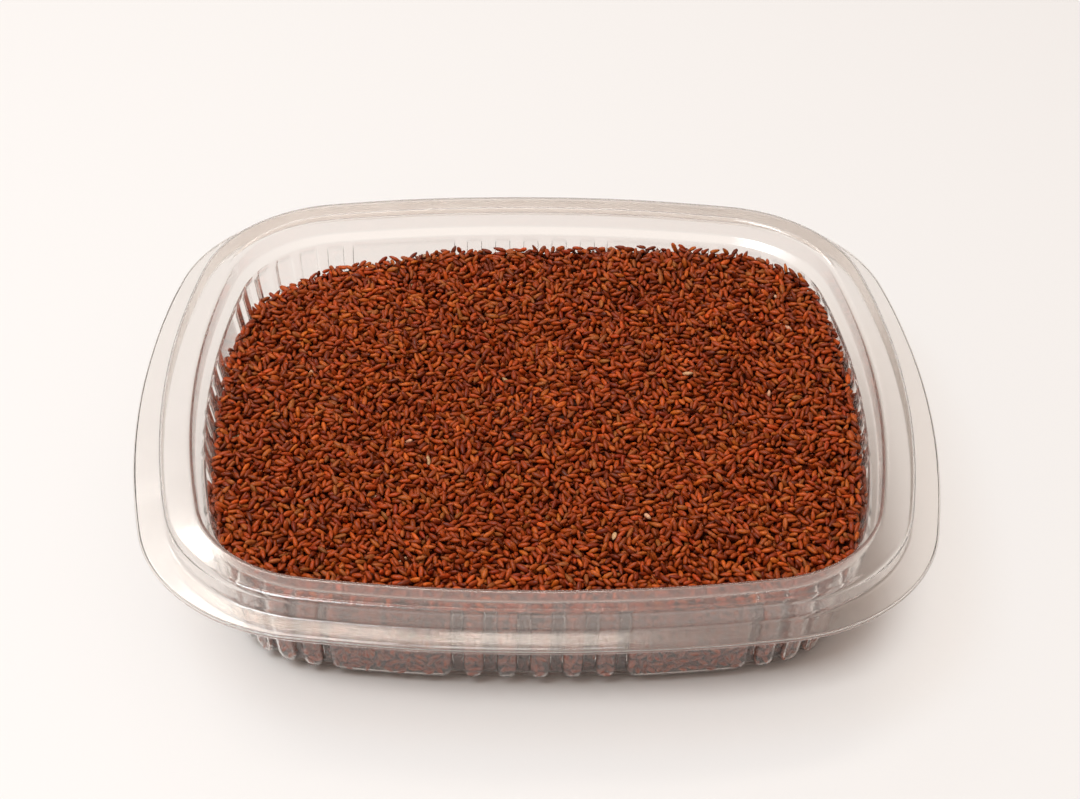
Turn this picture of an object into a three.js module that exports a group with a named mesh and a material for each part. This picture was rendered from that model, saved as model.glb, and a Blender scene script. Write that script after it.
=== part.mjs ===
// Shallow clear plastic food tub with rounded corners, filled with small seeds.
// Millimetres, +Z up. The origin is in the middle of the flat underside, +X along the long side, -Y is the front.
//
// The tub is one thin formed sheet: flat base, drafted wall with raised flutes and panels, a small shoulder,
// a raised hollow sealing ridge, a riser down to a flange, and a short turned-down lip.
// The seeds are one solid that fills the tub up to an uneven, gently domed surface.

import * as THREE from 'three';

// ---- driving dimensions -------------------------------------------------------------------------
const HALF_W = 69.0;          // half width at the inner edge of the sealing ridge
const HALF_D = 62.6;          // half depth at the same edge
const CORNER_R = 25.8;        // corner radius at the same edge
const BOW_FRONT = 8.8;        // degrees: half angle of the long sides' outward bow
const BOW_SIDE = 11.8;        // degrees: half angle of the short sides' outward bow
const SHEET = 0.6;            // sheet thickness

const RIDGE_Z = 30.5;         // middle of the sheet at the ridge's inner edge
const RIDGE_OUT = 5.9;        // ridge width
const RIDGE_FALL = 0.45;      // fall of the ridge top towards the outside
const RISER_OUT = 5.55;       // foot of the riser
const FLANGE_Z = 25.45;       // flange height
const FLANGE_OUT = 10.2;      // outer bend of the flange
const LIP_OUT = 11.05;        // edge of the lip
const LIP_Z = 24.65;

const BASE_IN = -9.0;         // edge of the base: the foot slopes in under the wall
const WALL_LOW = [-6.87, 2.2];   // [offset, height] of the plain wall above the foot
const WALL_HIGH = [-2.15, 25.4]; // and under the shoulder
const SHOULDER = [-0.65, 26.4];  // top of the shoulder
const BASE_ROUND = 1.3;       // bend between base and wall
const BEND = 0.75;            // bends of the rim

const FLUTE_W = 3.6;          // width of a flute
const FLUTE_PITCH = 6.26;     // spacing of the middle flutes
const FLUTE_RISE = 1.0;       // how far flutes and panels stand out
const PANEL_FRONT = [16.7, 39.6]; // panel, from the middle of a long side
const PANEL_SIDE = [16.7, 32.0];  // panel, from the middle of a short side
const CORNER_FLUTES = 6;      // flutes round each corner, between two panels
const FLUTE_RING = -5.8;      // the ring on which flutes are laid out
const EDGE_SLOPE = 0.55;      // width of a flute's sloping side

const SEED_GAP = 0.3;         // clearance between seeds and sheet
const SEED_LEVEL = 23.2;      // height of the seeds in the middle
// height of the seeds along the wall, every 15 degrees from the right side, anticlockwise from above
const SEED_RIM = [23.8, 24.6, 25.2, 25.1, 24.4, 23.6, 23.2, 22.9, 20.8, 18.6, 20.4, 21.9,
                  21.6, 21.8, 22.2, 22.5, 22.8, 22.8, 22.9, 22.9, 22.8, 22.7, 22.8, 23.2];
const SEED_RIPPLE = 0.45;     // unevenness of the surface

// ---- outline: eight tangent arcs, in terms of the direction of the outward normal ----------------
const rad = Math.PI / 180;
const T1 = BOW_FRONT * rad, T2 = BOW_SIDE * rad;
// radii of the long and short sides that close the outline
const [R_FRONT, R_SIDE] = (() => {
  const a11 = Math.sin(T1), a12 = 1 - Math.cos(T2), a21 = 1 - Math.cos(T1), a22 = Math.sin(T2);
  const b1 = HALF_W + CORNER_R * (Math.sin(T1) - Math.cos(T2));
  const b2 = HALF_D + CORNER_R * (Math.sin(T2) - Math.cos(T1));
  const det = a11 * a22 - a12 * a21;
  return [(b1 * a22 - a12 * b2) / det, (a11 * b2 - a21 * b1) / det];
})();
const CORNER_X = HALF_W - R_SIDE + (R_SIDE - CORNER_R) * Math.cos(T2);
const CORNER_Y = (R_SIDE - CORNER_R) * Math.sin(T2);

// the point of the ring at offset `off` whose outward normal has direction phi
function ring(phi, off) {
  const c = Math.cos(phi), s = Math.sin(phi), ac = Math.abs(c), as = Math.abs(s);
  const q = Math.atan2(as, ac);
  let x, y;
  if (q <= T2) { x = HALF_W - R_SIDE + (R_SIDE + off) * ac; y = (R_SIDE + off) * as; }
  else if (q < Math.PI / 2 - T1) { x = CORNER_X + (CORNER_R + off) * ac; y = CORNER_Y + (CORNER_R + off) * as; }
  else { x = (R_FRONT + off) * ac; y = HALF_D - R_FRONT + (R_FRONT + off) * as; }
  return [Math.sign(c) * x, Math.sign(s) * y];
}

// arc lengths on the ring where flutes are laid out, from the middle of the front
const LEN_FRONT = (R_FRONT + FLUTE_RING) * T1;
const LEN_CORNER = (CORNER_R + FLUTE_RING) * (Math.PI / 2 - T1 - T2);
const LEN_SIDE = (R_SIDE + FLUTE_RING) * T2;
const QUARTER = LEN_FRONT + LEN_CORNER + LEN_SIDE;

// direction of the normal at arc length s, s = 0 in the middle of the front, growing to the right
function direction(s) {
  const turn = Math.floor(s / (2 * QUARTER));
  let t = s - turn * 2 * QUARTER, flip = false;
  if (t > QUARTER) { t = 2 * QUARTER - t; flip = true; }
  let a;
  if (t <= LEN_FRONT) a = t / (R_FRONT + FLUTE_RING);
  else if (t <= LEN_FRONT + LEN_CORNER) a = T1 + (t - LEN_FRONT) / (CORNER_R + FLUTE_RING);
  else a = Math.PI / 2 - T2 + (t - LEN_FRONT - LEN_CORNER) / (R_SIDE + FLUTE_RING);
  if (flip) a = Math.PI - a;
  return -Math.PI / 2 + a + turn * Math.PI;
}

// ---- flutes and panels: spans along the arc length ----------------------------------------------
function spansOfQuarter() {
  const spans = [];
  for (let k = 1; k <= 2; k++) spans.push([k * FLUTE_PITCH - FLUTE_W / 2, k * FLUTE_PITCH + FLUTE_W / 2]);
  spans.push([...PANEL_FRONT]);
  const from = PANEL_FRONT[1], to = QUARTER - PANEL_SIDE[1];
  const gap = (to - from - CORNER_FLUTES * FLUTE_W) / (CORNER_FLUTES + 1);
  for (let k = 0; k < CORNER_FLUTES; k++) {
    const s = from + gap + k * (FLUTE_W + gap);
    spans.push([s, s + FLUTE_W]);
  }
  spans.push([QUARTER - PANEL_SIDE[1], QUARTER - PANEL_SIDE[0]]);
  for (let k = 2; k >= 1; k--) spans.push([QUARTER - k * FLUTE_PITCH - FLUTE_W / 2, QUARTER - k * FLUTE_PITCH + FLUTE_W / 2]);
  return spans;
}
const SPANS = (() => {
  const q = spansOfQuarter(), mirror = (list, at) => list.map(([a, b]) => [2 * at - b, 2 * at - a]).reverse();
  const middle = (at) => [[at - FLUTE_W / 2, at + FLUTE_W / 2]];
  const half = [...q, ...middle(QUARTER), ...mirror(q, QUARTER)];          // front middle to back middle
  const other = half.map(([a, b]) => [a + 2 * QUARTER, b + 2 * QUARTER]);
  return [...middle(0), ...half, ...middle(2 * QUARTER), ...other];
})();

// columns of the fluted wall: [arc length of the span's edge, side, share of the rise]
function columns(inset, slope) {
  const cols = [];
  for (const [a, b] of SPANS) {
    const lo = a + inset, hi = b - inset, sl = Math.min(slope, (hi - lo) * 0.3);
    cols.push([lo, 0], [lo + sl, 1]);
    if (b - a > 8) for (const f of [1 / 3, 2 / 3]) cols.push([lo + (hi - lo) * f, 1]);
    cols.push([hi - sl, 1], [hi, 0]);
  }
  return cols;
}

// ---- mesh building ------------------------------------------------------------------------------
class Body {
  constructor() { this.pos = []; this.tri = []; }
  vertex(x, y, z) { this.pos.push(x, y, z); return this.pos.length / 3 - 1; }
  // a closed loop of {t, id}, t growing from about 0 to 1 along the outline
  loop(points) { return points.map(([t, x, y, z]) => ({ t, id: this.vertex(x, y, z) })); }
  // triangles between two loops that may have different numbers of points
  zip(A, B) {
    const n = A.length, m = B.length;
    let i = 0, j = 0;
    const ta = (k) => A[k % n].t + Math.floor(k / n), tb = (k) => B[k % m].t + Math.floor(k / m);
    while (i < n || j < m) {
      const a = A[i % n].id, b = B[j % m].id;
      if (j >= m || (i < n && ta(i + 1) <= tb(j + 1))) { this.tri.push(a, A[(i + 1) % n].id, b); i++; }
      else { this.tri.push(a, B[(j + 1) % m].id, b); j++; }
    }
  }
  cap(A, x, y, z, up) {
    const c = this.vertex(x, y, z);
    for (let i = 0; i < A.length; i++) {
      const p = A[i].id, q = A[(i + 1) % A.length].id;
      if (up) this.tri.push(c, p, q); else this.tri.push(c, q, p);
    }
  }
  geometry() {
    const g = new THREE.BufferGeometry();
    g.setAttribute('position', new THREE.Float32BufferAttribute(this.pos, 3));
    g.setIndex(this.tri);
    g.computeVertexNormals();
    return g;
  }
}

const FULL = 4 * QUARTER;
// plain columns of the rim, the base and the seeds: few on the flat arcs, more round the corners
const PLAIN = (() => {
  const s = [];
  for (let side = 0; side < 4; side++) {
    const long = side % 2 === 0, straight = long ? LEN_FRONT : LEN_SIDE, base = side * QUARTER;
    for (let k = -3; k < 3; k++) s.push(base + (straight * (k + 0.5)) / 3);
    for (let k = 0; k < 8; k++) s.push(base + straight + (LEN_CORNER * (k + 0.25)) / 7.5);
  }
  return s.sort((p, q) => p - q);
})();

function plainLoop(body, off, z) {
  return body.loop(PLAIN.map((s) => { const [x, y] = ring(direction(s), off); return [s / FULL, x, y, z]; }));
}
function flutedLoop(body, off, z, inset, rise, slope) {
  return body.loop(columns(inset, slope).map(([s, share]) => {
    const [x, y] = ring(direction(s), off + rise * share);
    return [s / FULL, x, y, z];
  }));
}

// ---- cross-section of the rim: the middle of the sheet, with rounded bends ------------------------
function roundedPath(points, radii, steps) {
  const out = [points[0]];
  for (let i = 1; i < points.length - 1; i++) {
    const p = new THREE.Vector2(...points[i]);
    const u = new THREE.Vector2(...points[i - 1]).sub(p).normalize(), v = new THREE.Vector2(...points[i + 1]).sub(p).normalize();
    const half = Math.acos(THREE.MathUtils.clamp(u.dot(v), -1, 1)) / 2, d = radii[i] / Math.tan(half);
    const c = p.clone().add(u.clone().add(v).normalize().multiplyScalar(radii[i] / Math.sin(half)));
    const a = p.clone().addScaledVector(u, d).sub(c), b = p.clone().addScaledVector(v, d).sub(c);
    let from = Math.atan2(a.y, a.x), sweep = Math.atan2(b.y, b.x) - from;
    if (sweep > Math.PI) sweep -= 2 * Math.PI;
    if (sweep < -Math.PI) sweep += 2 * Math.PI;
    for (let k = 0; k <= steps; k++) {
      const t = from + (sweep * k) / steps;
      out.push([c.x + radii[i] * Math.cos(t), c.y + radii[i] * Math.sin(t)]);
    }
  }
  out.push(points[points.length - 1]);
  return out;
}
// the path moved sideways by d, to its left
function sideways(path, d) {
  return path.map((p, i) => {
    const a = path[Math.max(i - 1, 0)], b = path[Math.min(i + 1, path.length - 1)];
    const n = (q, r) => new THREE.Vector2(-(r[1] - q[1]), r[0] - q[0]).normalize();
    const n1 = i > 0 ? n(a, p) : n(p, b), n2 = i < path.length - 1 ? n(p, b) : n1;
    const m = n1.clone().add(n2).normalize();
    return [p[0] + (m.x * d) / m.dot(n1), p[1] + (m.y * d) / m.dot(n1)];
  });
}

const H = SHEET / 2;
const RIM = roundedPath([
  WALL_HIGH,
  SHOULDER,
  [0, RIDGE_Z],
  [RIDGE_OUT, RIDGE_Z - RIDGE_FALL],
  [RISER_OUT, FLANGE_Z],
  [FLANGE_OUT, FLANGE_Z],
  [LIP_OUT, LIP_Z],
], [0, 0.9, BEND, BEND, BEND, BEND, 0], 2);

// rows of the fluted wall, from its foot up: [height, inset of the spans, share of the rise]
const FLUTE_ROWS = [
  [WALL_LOW[1], 1.35, 0.0],
  [WALL_LOW[1] + 0.55, 0.75, 0.72],
  [WALL_LOW[1] + 1.7, 0.0, 1.0],
  [WALL_HIGH[1] - 1.3, 0.0, 0.9],
  [WALL_HIGH[1] - 0.35, 0.55, 0.0],
];
const wallAt = (z) => WALL_LOW[0] + ((z - WALL_LOW[1]) / (WALL_HIGH[1] - WALL_LOW[1])) * (WALL_HIGH[0] - WALL_LOW[0]);

function tubGeometry() {
  const body = new Body(), loops = [];
  // underside, outer face of the wall, hollow underside of the ridge and flange
  loops.push(plainLoop(body, BASE_IN - 1.0, 0));
  loops.push(plainLoop(body, BASE_IN + 0.55, BASE_ROUND * 0.35));
  for (const [z, inset, share] of FLUTE_ROWS)
    loops.push(flutedLoop(body, wallAt(z) + H, z, inset, FLUTE_RISE * share, EDGE_SLOPE));
  const under = sideways(RIM, -H), over = sideways(RIM, H);
  for (const [o, z] of under.slice(1)) loops.push(plainLoop(body, o, z));
  // lip edge, top of the flange, riser, ridge, inner face of the wall, floor
  for (const [o, z] of over.slice(1).reverse()) loops.push(plainLoop(body, o, z));
  for (const [z, inset, share] of [...FLUTE_ROWS].reverse())
    loops.push(flutedLoop(body, wallAt(z) - H, z + (z < 5 ? H * 0.8 : 0), inset + 0.2, FLUTE_RISE * share, EDGE_SLOPE));
  loops.push(plainLoop(body, BASE_IN + 0.05, SHEET + BASE_ROUND * 0.3));
  loops.push(plainLoop(body, BASE_IN - 1.1, SHEET));
  for (let k = 0; k + 1 < loops.length; k++) body.zip(loops[k], loops[k + 1]);
  body.cap(loops[0], 0, 0, 0, false);
  body.cap(loops[loops.length - 1], 0, 0, SHEET, true);
  return body.geometry();
}

// ---- seeds --------------------------------------------------------------------------------------
// height along the wall in direction `a` from the middle, by smooth steps between the listed heights
function rimLevel(a) {
  const n = SEED_RIM.length, f = ((a / (2 * Math.PI)) * n + n) % n, i = Math.floor(f), t = f - i;
  const p = (k) => SEED_RIM[(i + k + n) % n];
  const w = t * t * (3 - 2 * t);
  return p(0) * (1 - w) + p(1) * w;
}
// the uneven surface: r is 0 in the middle and 1 at the wall
function seedLevel(x, y, r) {
  const edge = rimLevel(Math.atan2(y / HALF_D, x / HALF_W));
  const w = r * r * r;
  const ripple =
    0.5 * Math.sin(0.115 * x + 0.06 * y + 0.8) + 0.45 * Math.sin(-0.09 * x + 0.135 * y + 2.1) +
    0.35 * Math.sin(0.31 * x + 0.2 * y + 4.0) + 0.3 * Math.sin(0.17 * x - 0.37 * y + 1.3) + 0.25 * Math.sin(0.46 * x + 0.41 * y);
  return SEED_LEVEL * (1 - w) + edge * w + SEED_RIPPLE * ripple * (1 - 0.5 * w);
}
function seedGeometry() {
  const body = new Body(), loops = [];
  const side = (z) => wallAt(z) - H - SEED_GAP;
  loops.push(plainLoop(body, BASE_IN - 1.3, SHEET + SEED_GAP));
  loops.push(plainLoop(body, BASE_IN + 0.1, SHEET + SEED_GAP + 0.65));
  loops.push(plainLoop(body, side(3.2) - 0.25, 3.2));
  loops.push(plainLoop(body, side(6), 6));
  // rings of the surface from the wall inwards
  const rings = 9;
  for (let k = 0; k < rings; k++) {
    const r = 1 - k / rings;
    loops.push(body.loop(PLAIN.map((s) => {
      const phi = direction(s), [ex, ey] = ring(phi, side(22.2));
      let z = seedLevel(ex * r, ey * r, r);
      const [x, y] = k === 0 ? ring(phi, side(z)) : [ex * r, ey * r];
      return [s / FULL, x, y, z];
    })));
  }
  for (let k = 0; k + 1 < loops.length; k++) body.zip(loops[k], loops[k + 1]);
  body.cap(loops[0], 0, 0, SHEET + SEED_GAP, false);
  body.cap(loops[loops.length - 1], 0, 0, seedLevel(0, 0, 0), true);
  return body.geometry();
}

// ---- the object ---------------------------------------------------------------------------------
const clear = new THREE.MeshStandardMaterial({ color: new THREE.Color(0.9, 0.87, 0.84), roughness: 0.12, metalness: 0, transparent: true, opacity: 0.3 });
const seedBrown = new THREE.MeshStandardMaterial({ color: new THREE.Color(0.36, 0.13, 0.05), roughness: 0.7, metalness: 0 });

const dish = new THREE.Group();
const tub = new THREE.Mesh(tubGeometry(), clear);
tub.name = 'tub';
const seeds = new THREE.Mesh(seedGeometry(), seedBrown);
seeds.name = 'seeds';
dish.add(tub, seeds);

export default dish;
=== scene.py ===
# Looks of a shallow clear plastic tub filled with garden cress seeds.
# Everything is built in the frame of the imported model, in metres. Sizes below are in millimetres.
import math

import bpy
import numpy as np
from mathutils import Matrix, Vector


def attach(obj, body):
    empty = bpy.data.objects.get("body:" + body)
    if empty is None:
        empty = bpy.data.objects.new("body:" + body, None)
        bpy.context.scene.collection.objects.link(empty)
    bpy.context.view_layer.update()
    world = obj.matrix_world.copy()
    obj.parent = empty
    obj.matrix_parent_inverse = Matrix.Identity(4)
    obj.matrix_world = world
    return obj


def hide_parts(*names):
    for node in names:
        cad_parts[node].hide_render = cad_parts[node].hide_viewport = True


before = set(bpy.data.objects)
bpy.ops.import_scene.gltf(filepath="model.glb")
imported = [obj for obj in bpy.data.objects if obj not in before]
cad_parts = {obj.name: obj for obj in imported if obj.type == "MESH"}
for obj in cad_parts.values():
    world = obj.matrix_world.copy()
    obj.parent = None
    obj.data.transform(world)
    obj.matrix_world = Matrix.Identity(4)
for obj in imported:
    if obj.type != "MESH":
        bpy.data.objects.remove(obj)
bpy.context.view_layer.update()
MM = 0.001

# ---------------------------------------------------------------------------------------------
# the tub's outline and cross-section
# ---------------------------------------------------------------------------------------------
HALF_W, HALF_D, CORNER_R = 69.0, 62.6, 25.8
T1, T2 = math.radians(8.8), math.radians(11.8)
SHEET = 0.46
RIDGE_Z, RIDGE_OUT, RIDGE_FALL = 30.5, 5.9, 0.45
RISER_OUT, FLANGE_Z, FLANGE_OUT, LIP_OUT, LIP_Z = 5.55, 25.45, 11.0, 11.1, 25.05
WALL_LOW, WALL_HIGH, SHOULDER = (-7.07, 3.05), (-2.5, 25.4), (-0.65, 26.4)
BASE_IN = -8.6
FLUTE_W, FLUTE_PITCH, FLUTE_RISE = 3.6, 6.26, 1.35
PANEL_FRONT, PANEL_SIDE, CORNER_FLUTES, FLUTE_RING = (16.7, 39.6), (16.7, 32.0), 6, -5.8

_a = np.array([[math.sin(T1), 1 - math.cos(T2)], [1 - math.cos(T1), math.sin(T2)]])
_b = np.array([HALF_W + CORNER_R * (math.sin(T1) - math.cos(T2)), HALF_D + CORNER_R * (math.sin(T2) - math.cos(T1))])
R_FRONT, R_SIDE = np.linalg.solve(_a, _b)
CORNER_X = HALF_W - R_SIDE + (R_SIDE - CORNER_R) * math.cos(T2)
CORNER_Y = (R_SIDE - CORNER_R) * math.sin(T2)
LEN_FRONT = (R_FRONT + FLUTE_RING) * T1
LEN_CORNER = (CORNER_R + FLUTE_RING) * (math.pi / 2 - T1 - T2)
LEN_SIDE = (R_SIDE + FLUTE_RING) * T2
QUARTER = LEN_FRONT + LEN_CORNER + LEN_SIDE
FULL = 4 * QUARTER


def ring(phi, off):
    """Points of the outline whose outward normal has direction phi, off millimetres outside the ridge's inner edge."""
    c, s = np.cos(phi), np.sin(phi)
    ac, as_ = np.abs(c), np.abs(s)
    q = np.arctan2(as_, ac)
    side, front = q <= T2, q >= math.pi / 2 - T1
    x = np.where(side, HALF_W - R_SIDE + (R_SIDE + off) * ac, np.where(front, (R_FRONT + off) * ac, CORNER_X + (CORNER_R + off) * ac))
    y = np.where(side, (R_SIDE + off) * as_, np.where(front, HALF_D - R_FRONT + (R_FRONT + off) * as_, CORNER_Y + (CORNER_R + off) * as_))
    return np.sign(c) * x, np.sign(s) * y


def direction(s):
    """Direction of the outward normal at arc length s on the flutes' ring, from the middle of the front, to the right."""
    s = np.asarray(s, float)
    turn = np.floor(s / (2 * QUARTER))
    t = s - turn * 2 * QUARTER
    flip = t > QUARTER
    t = np.where(flip, 2 * QUARTER - t, t)
    a = np.where(
        t <= LEN_FRONT,
        t / (R_FRONT + FLUTE_RING),
        np.where(t <= LEN_FRONT + LEN_CORNER, T1 + (t - LEN_FRONT) / (CORNER_R + FLUTE_RING), math.pi / 2 - T2 + (t - LEN_FRONT - LEN_CORNER) / (R_SIDE + FLUTE_RING)),
    )
    a = np.where(flip, math.pi - a, a)
    return -math.pi / 2 + a + turn * math.pi


def outline_place(x, y):
    """(offset from the ridge's inner edge, arc length) of points in plan."""
    ax, ay = np.abs(x), np.abs(y)
    ang = np.arctan2(ay - CORNER_Y, ax - CORNER_X)
    # which arc a point belongs to
    side_a = np.arctan2(ay, ax - (HALF_W - R_SIDE))
    front_a = np.arctan2(ay - (HALF_D - R_FRONT), ax)
    is_side = (side_a <= T2) & (ax - (HALF_W - R_SIDE) > 0)
    is_front = front_a >= math.pi / 2 - T1
    off_c = np.hypot(ax - CORNER_X, ay - CORNER_Y) - CORNER_R
    off_s = np.hypot(ax - (HALF_W - R_SIDE), ay) - R_SIDE
    off_f = np.hypot(ax, ay - (HALF_D - R_FRONT)) - R_FRONT
    # in the middle both hold: the nearer wall wins
    off = np.where(is_side & is_front, np.maximum(off_s, off_f), np.where(is_side, off_s, np.where(is_front, off_f, off_c)))
    from_front = math.pi / 2 - np.where(off == off_s, side_a, np.where(off == off_f, front_a, ang))
    t = np.where(
        from_front <= T1,
        from_front * (R_FRONT + FLUTE_RING),
        np.where(from_front <= math.pi / 2 - T2, LEN_FRONT + (from_front - T1) * (CORNER_R + FLUTE_RING), LEN_FRONT + LEN_CORNER + (from_front - math.pi / 2 + T2) * (R_SIDE + FLUTE_RING)),
    )
    s = np.where(y < 0, np.where(x >= 0, t, FULL - t), np.where(x >= 0, 2 * QUARTER - t, 2 * QUARTER + t))
    return off, s % FULL


def flute_spans():
    q = [(k * FLUTE_PITCH - FLUTE_W / 2, k * FLUTE_PITCH + FLUTE_W / 2) for k in (1, 2)]
    q.append(PANEL_FRONT)
    start, end = PANEL_FRONT[1], QUARTER - PANEL_SIDE[1]
    gap = (end - start - CORNER_FLUTES * FLUTE_W) / (CORNER_FLUTES + 1)
    for k in range(CORNER_FLUTES):
        a = start + gap + k * (FLUTE_W + gap)
        q.append((a, a + FLUTE_W))
    q.append((QUARTER - PANEL_SIDE[1], QUARTER - PANEL_SIDE[0]))
    q += [(QUARTER - k * FLUTE_PITCH - FLUTE_W / 2, QUARTER - k * FLUTE_PITCH + FLUTE_W / 2) for k in (2, 1)]
    mid = lambda at: (at - FLUTE_W / 2, at + FLUTE_W / 2)
    half = q + [mid(QUARTER)] + [(2 * QUARTER - b, 2 * QUARTER - a) for a, b in reversed(q)]
    return [mid(0.0)] + half + [mid(2 * QUARTER)] + [(a + 2 * QUARTER, b + 2 * QUARTER) for a, b in half]


SPANS = flute_spans()
LOW_Z, HIGH_Z = 2.1, WALL_HIGH[1] - 0.25


def smooth(t):
    t = np.clip(t, 0.0, 1.0)
    return t * t * (3 - 2 * t)


def relief(s, z):
    """How far the wall stands out of its plain surface at arc length s and height z: flutes and panels with round lower ends."""
    s, z = np.broadcast_arrays(np.asarray(s, float), np.asarray(z, float))
    out = np.zeros(s.shape)
    sw = (s + FLUTE_W) % FULL - FLUTE_W
    for a, b in SPANS:
        hit = (sw > a - 0.8) & (sw < b + 0.8)
        if not hit.any():
            continue
        ss, zz = sw[hit], z[hit]
        half, mid = (b - a) / 2, (a + b) / 2
        r = min(half, 1.75)
        # distance to a box with round corners, open at the top; its lower end is drawn out
        dx = np.abs(ss - mid) - (half - r)
        dz = (LOW_Z + 1.5 * r - zz) / 1.5
        d = np.hypot(np.maximum(dx, 0), np.maximum(dz, 0)) + np.minimum(np.maximum(dx, dz), 0) - r
        v = FLUTE_RISE * smooth((0.28 - d) / 0.62)
        v = v * smooth((HIGH_Z + 0.1 - zz) / 2.9)
        out[hit] = np.maximum(out[hit], v)
    return out


def foot_at(z):
    """The sheet where it slopes in under the wall, between the flutes."""
    return np.minimum(BASE_IN + (z - SHEET / 2) / (WALL_LOW[1] - SHEET / 2) * (WALL_LOW[0] - BASE_IN), WALL_LOW[0])


def wall_at(z):
    return WALL_LOW[0] + (z - WALL_LOW[1]) / (WALL_HIGH[1] - WALL_LOW[1]) * (WALL_HIGH[0] - WALL_LOW[0])


def rounded(points, radii, steps):
    """A path through points with round bends."""
    out = [np.array(points[0], float)]
    for p0, p, p1, r, n in zip(points, points[1:], points[2:], radii, steps):
        p0, p, p1 = (np.array(v, float) for v in (p0, p, p1))
        u, v = (p0 - p) / np.linalg.norm(p0 - p), (p1 - p) / np.linalg.norm(p1 - p)
        half = math.acos(np.clip(u @ v, -1, 1)) / 2
        d = r / math.tan(half)
        c = p + (u + v) / np.linalg.norm(u + v) * (r / math.sin(half))
        a, b = p + u * d - c, p + v * d - c
        a0, a1 = math.atan2(a[1], a[0]), math.atan2(b[1], b[0])
        sweep = (a1 - a0 + math.pi) % (2 * math.pi) - math.pi
        for k in range(n + 1):
            t = a0 + sweep * k / n
            out.append(c + r * np.array([math.cos(t), math.sin(t)]))
    out.append(np.array(points[-1], float))
    return np.array(out)


def profile():
    """The middle of the sheet from the floor's edge to the lip: offset and height, in steps as fine as the shape needs."""
    pts = [(BASE_IN - 4.0, SHEET / 2), (BASE_IN, SHEET / 2), WALL_LOW, WALL_HIGH, SHOULDER, (0.0, RIDGE_Z), (RIDGE_OUT, RIDGE_Z - RIDGE_FALL), (RISER_OUT, FLANGE_Z), (FLANGE_OUT, FLANGE_Z), (LIP_OUT, LIP_Z)]
    path = rounded(pts, [0.5, 0.9, 0.5, 0.7, 0.95, 0.85, 0.7, 0.2], [2, 3, 3, 3, 5, 4, 4, 3])
    fine = []
    for a, b in zip(path, path[1:]):
        length = np.linalg.norm(b - a)
        if length < 1e-6:
            continue
        if b[1] > 10 and b[0] < -1.9 and a[1] < 5:  # the wall: fine where the flutes end
            cuts = [3.6, 4.0, 4.4, 4.9, 5.5, 11, 17, 22.4, 23.2, 23.9, 24.5, 25.0]
            fs = [(z - a[1]) / (b[1] - a[1]) for z in cuts]
            fine += [a] + [a + (b - a) * f for f in fs if 0.01 < f < 0.99]
            continue
        if a[1] < 1 and b[1] > 2:  # the foot: fine where the flutes come down to it
            fine += [a] + [a + (b - a) * (z - a[1]) / (b[1] - a[1]) for z in (1.6, 1.85, 2.05, 2.25, 2.45)]
            continue
        if length > 2 and a[0] > -0.8:  # the rim: flats stay flat up to the bends
            fine += [a, a + (b - a) * 0.16 / length, b - (b - a) * 0.16 / length]
            continue
        n = max(1, int(math.ceil(length / 2.4)))
        fine += [a + (b - a) * k / n for k in range(n)]
    fine.append(path[-1])
    return np.array(fine)


def columns():
    """Arc lengths of the mesh's columns: close together across the sides of the flutes and panels."""
    at = []
    for a, b in SPANS:
        for e, sign in ((a, 1), (b, -1)):
            at += [e - sign * 0.34, e - sign * 0.12, e + sign * 0.1, e + sign * 0.34]
        if b - a < 6:
            at += [(a + b) / 2 + d for d in (-1.1, -0.55, 0.55, 1.1)]
        else:
            at += [a + 0.9, a + 1.5, b - 0.9, b - 1.5]
    at = np.sort(np.array(at) % FULL)
    out = []
    for k, s in enumerate(at):
        nxt = at[k + 1] if k + 1 < len(at) else at[0] + FULL
        n = max(1, int(math.ceil((nxt - s) / 2.3)))
        out += [s + (nxt - s) * j / n for j in range(n)]
    out = np.array(out)
    if len(out) % 2:
        out = np.append(out, (out[-1] + out[0] + FULL) / 2)
    return out


def mesh_object(name, verts, faces, smooth_shade=True):
    """A mesh object from vertices in millimetres and an array of quads or triangles."""
    me = bpy.data.meshes.new(name)
    verts = np.asarray(verts, np.float32) * MM
    me.vertices.add(len(verts))
    me.vertices.foreach_set("co", verts.ravel())
    if isinstance(faces, np.ndarray):
        n, k = faces.shape
        me.loops.add(n * k)
        me.loops.foreach_set("vertex_index", faces.astype(np.int32).ravel())
        me.polygons.add(n)
        me.polygons.foreach_set("loop_start", np.arange(0, n * k, k, dtype=np.int32))
    else:
        loops = np.concatenate([f.ravel() for f in faces]).astype(np.int32)
        sizes = np.concatenate([np.full(len(f), f.shape[1], np.int32) for f in faces])
        me.loops.add(len(loops))
        me.loops.foreach_set("vertex_index", loops)
        me.polygons.add(len(sizes))
        me.polygons.foreach_set("loop_start", np.concatenate([[0], np.cumsum(sizes)[:-1]]).astype(np.int32))
    me.update(calc_edges=True)
    me.validate()
    if smooth_shade:
        me.polygons.foreach_set("use_smooth", np.ones(len(me.polygons), bool))
    ob = bpy.data.objects.new(name, me)
    bpy.context.scene.collection.objects.link(ob)
    return ob


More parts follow.
